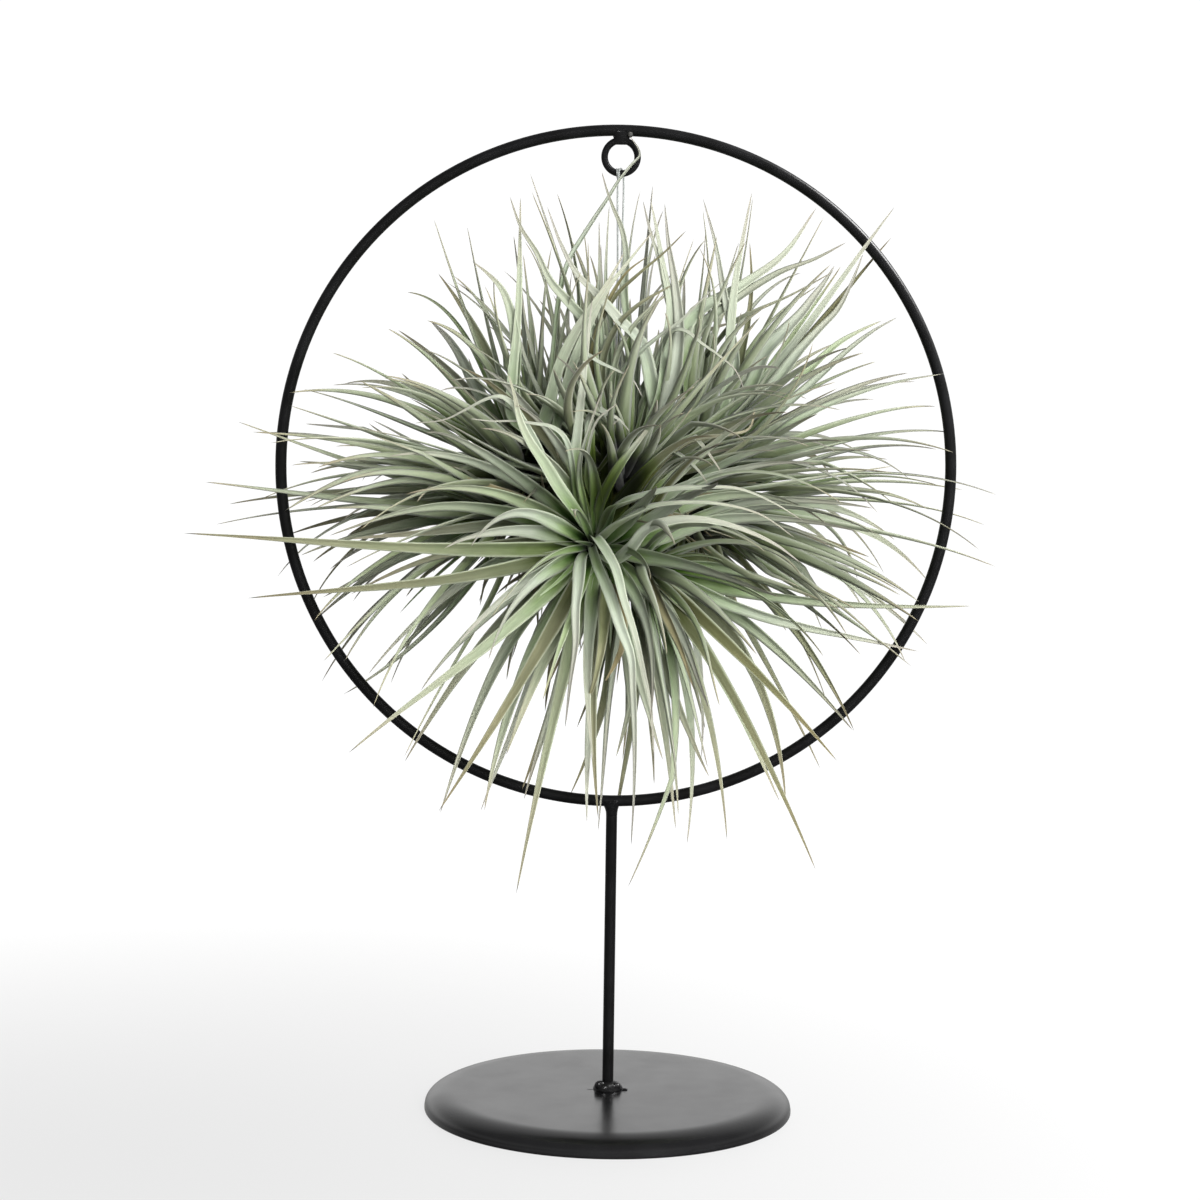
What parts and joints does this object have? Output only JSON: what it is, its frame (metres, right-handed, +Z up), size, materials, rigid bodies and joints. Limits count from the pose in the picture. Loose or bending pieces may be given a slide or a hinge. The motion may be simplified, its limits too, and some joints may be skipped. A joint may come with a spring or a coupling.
{
  "type": "sky plant in a ring stand",
  "caption": "Sky plant, a clump of silver-leaved air plant rosettes, hung on a clear line inside a black metal ring stand.",
  "frame": {"origin": "centre of the underside of the floor plate", "axes": "+Z up along the upright; the ring stands in the XZ plane; -Y is the front, as the picture shows it; +X is to the right"},
  "size_m": [0.3482, 0.2696, 0.4365],
  "materials": {
    "black_coat": "satin powder coat over welded steel",
    "clear_line": "clear nylon monofilament, glossy",
    "bark": "dry woody stem with old sheaths",
    "silver_leaf": "green leaf under matt silver-grey scales"
  },
  "bodies": {
    "root": {"base_disc": "black_coat", "upright_rod": "black_coat", "foot_weld": "black_coat", "hoop_ring": "black_coat", "ring_weld": "black_coat", "hanging_eyelet": "black_coat", "eyelet_weld": "black_coat", "hanging_line": "clear_line", "clump_stem": "bark", "head_front": "silver_leaf", "head_front_right": "silver_leaf", "head_top": "silver_leaf", "head_upper_right": "silver_leaf", "head_right": "silver_leaf", "head_upper_left": "silver_leaf", "head_left": "silver_leaf", "head_back": "silver_leaf", "head_back_right": "silver_leaf", "head_back_left": "silver_leaf"}
  },
  "joints": []
}
